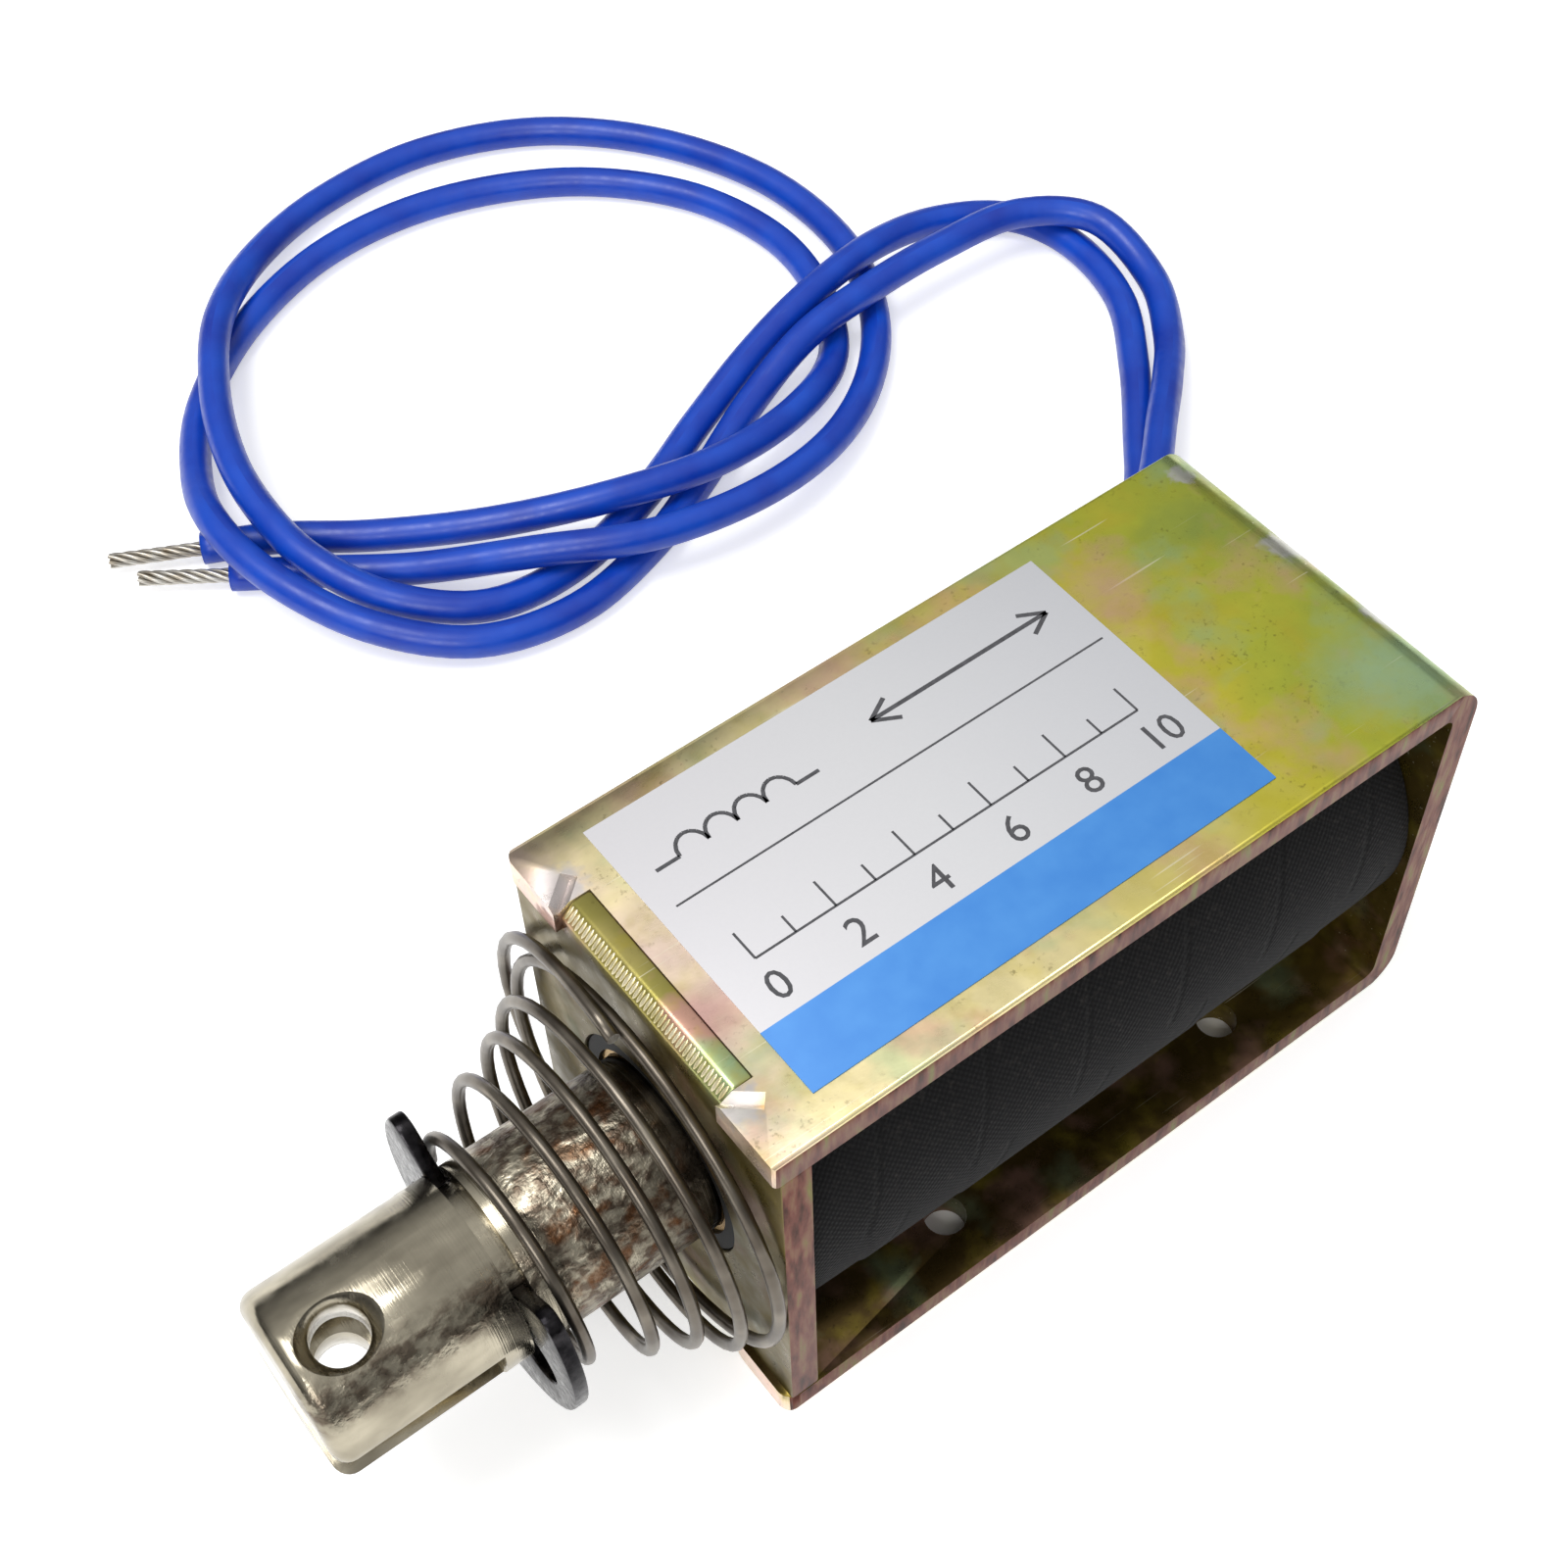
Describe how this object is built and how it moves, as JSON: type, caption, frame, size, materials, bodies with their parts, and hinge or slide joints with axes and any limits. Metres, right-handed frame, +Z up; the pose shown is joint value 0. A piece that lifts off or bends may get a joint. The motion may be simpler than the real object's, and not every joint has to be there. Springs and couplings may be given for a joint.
{
  "type": "push pull solenoid",
  "caption": "Open-frame push pull solenoid: a taped coil in a bent zinc-plated steel yoke, a spring-returned clevis plunger at the front, a push rod at the back and a pair of blue leads.",
  "frame": {"origin": "middle of the base's four-hole pattern, on the bottom face", "axes": "+X from the clevis tip along the plunger to the push rod's end, +Y to the side where the leads leave the coil, +Z up through the label"},
  "size_m": [0.1376, 0.1459, 0.0391],
  "materials": {
    "zinc_steel": "yellow chromated zinc with pink and green tints",
    "black_nylon": "matte",
    "copper_wire": "enamelled copper",
    "black_cloth_tape": "matte woven",
    "brass_tube": "drawn",
    "plain_steel": "turned",
    "white_nylon": "matte",
    "label_film": "satin print",
    "blue_pvc": "satin",
    "tinned_copper": "bare strands",
    "nickel_plate": "bright nickel, worn",
    "black_oxide": "blackened, oiled",
    "spring_wire": "drawn wire"
  },
  "bodies": {
    "frame": {"yoke_frame": "zinc_steel", "front_plate": "zinc_steel", "bobbin": "black_nylon", "coil_winding": "copper_wire", "coil_tape": "black_cloth_tape", "guide_tube": "brass_tube", "fixed_core": "plain_steel", "residual_washer": "white_nylon", "splice_patch": "black_cloth_tape", "rating_label": "label_film", "lead_a": "blue_pvc", "lead_b": "blue_pvc", "lead_a_strands": "tinned_copper", "lead_b_strands": "tinned_copper", "rear_washer": "white_nylon", "return_spring": "spring_wire"},
    "clip": {"e_clip": "black_oxide"},
    "plunger": {"plunger": "nickel_plate", "push_rod": "plain_steel", "rear_clip": "black_oxide"}
  },
  "joints": [
    {"name": "plunger_stroke", "type": "slide", "parent": "frame", "child": "clip", "axis": [1, 0, 0], "range_m": [0, 0.01], "stiffness_N_per_m": 300, "springref_m": -0.01, "deforming": ["return_spring"]},
    {"name": "plunger_spin", "type": "hinge", "parent": "clip", "child": "plunger", "pos_m": [0, 0, 0.0195], "axis": [1, 0, 0], "continuous": true}
  ]
}
